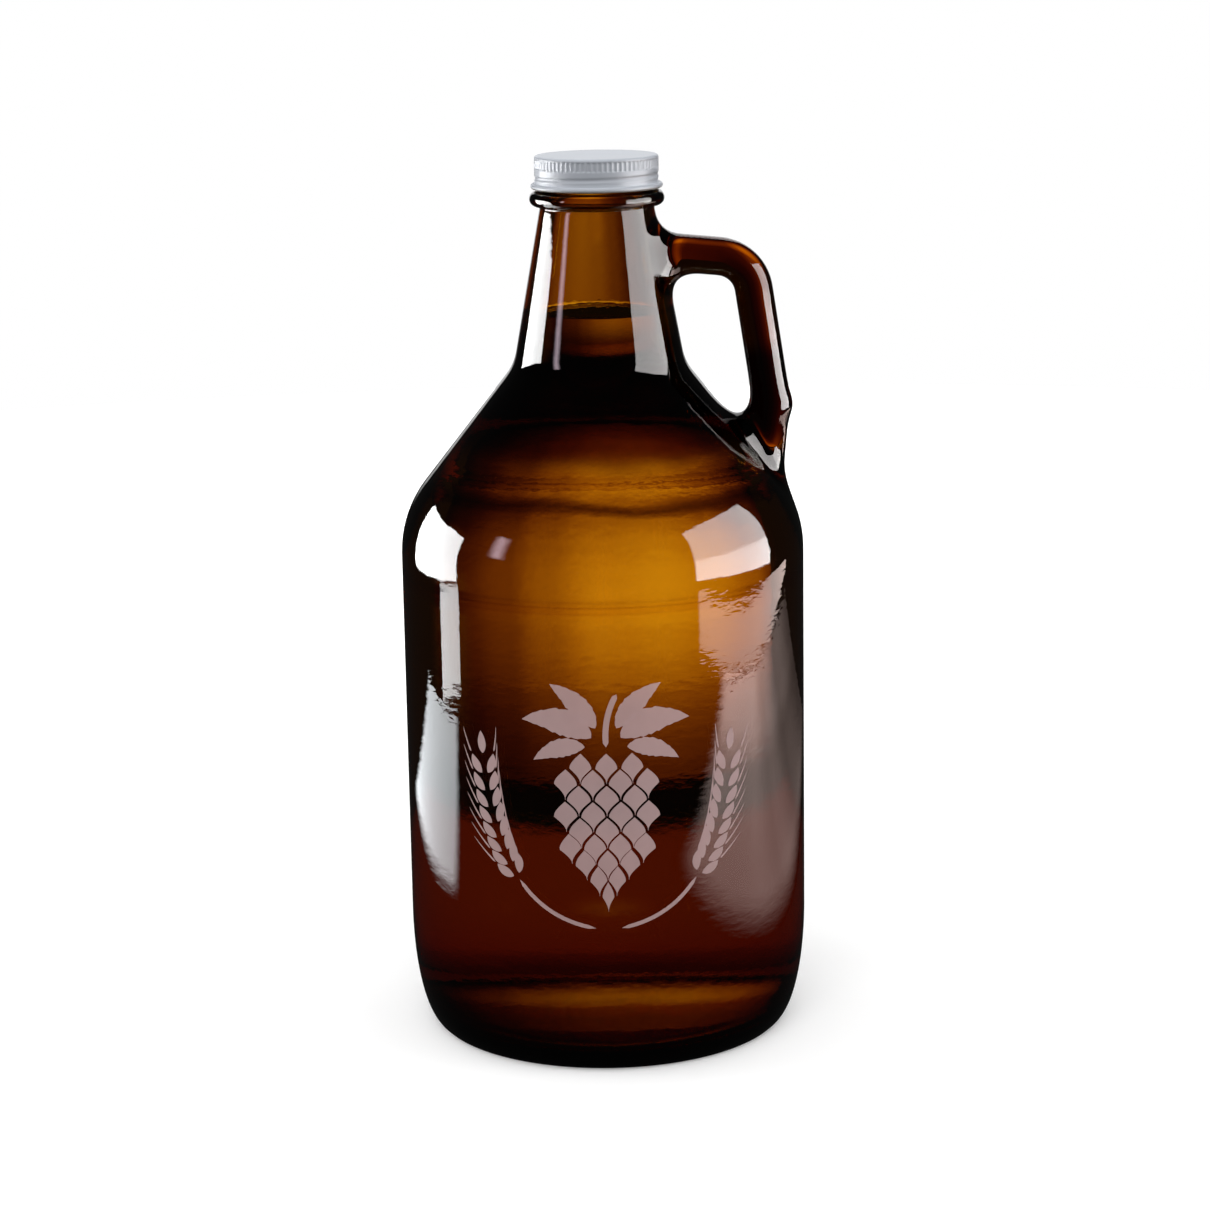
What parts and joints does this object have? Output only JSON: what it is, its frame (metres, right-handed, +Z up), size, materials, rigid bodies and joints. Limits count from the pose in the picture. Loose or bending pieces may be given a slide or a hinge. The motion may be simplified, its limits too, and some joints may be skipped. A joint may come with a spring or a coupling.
{
  "type": "growler",
  "caption": "Round amber glass jug with a tapered neck, a finger-loop handle and a white metal screw cap, filled with beer.",
  "frame": {"origin": "centre of the jug's footprint, on the surface that it stands on", "axes": "+Z up along the jug's and the cap's common axis, +X towards the handle, -Y the decorated front"},
  "size_m": [0.128, 0.128, 0.2797],
  "materials": {
    "amber_glass": "clear amber container glass, gloss",
    "beer": "clear amber liquid",
    "white_enamel": "white enamel on tinplate, semi-gloss",
    "pulp_board": "raw pulp board, matt",
    "liner_film": "polyethylene facing, satin"
  },
  "bodies": {
    "jug": {"glass_jug": "amber_glass", "beer": "beer"},
    "liner": {"cap_liner_board": "pulp_board", "cap_liner_film": "liner_film"},
    "cap": {"cap_shell": "white_enamel"}
  },
  "joints": [
    {"name": "cap_rise", "type": "slide", "parent": "jug", "child": "liner", "axis": [0, 0, 1], "range_m": [0, 0.01694]},
    {"name": "cap_turn", "type": "hinge", "parent": "liner", "child": "cap", "pos_m": [0, 0, 0.2692], "axis": [0, 0, 1], "range_deg": [0, 1440]}
  ],
  "couplings": [
    {"joint": "cap_rise", "follows": "cap_turn", "m_per_rad": 0.0006737}
  ]
}
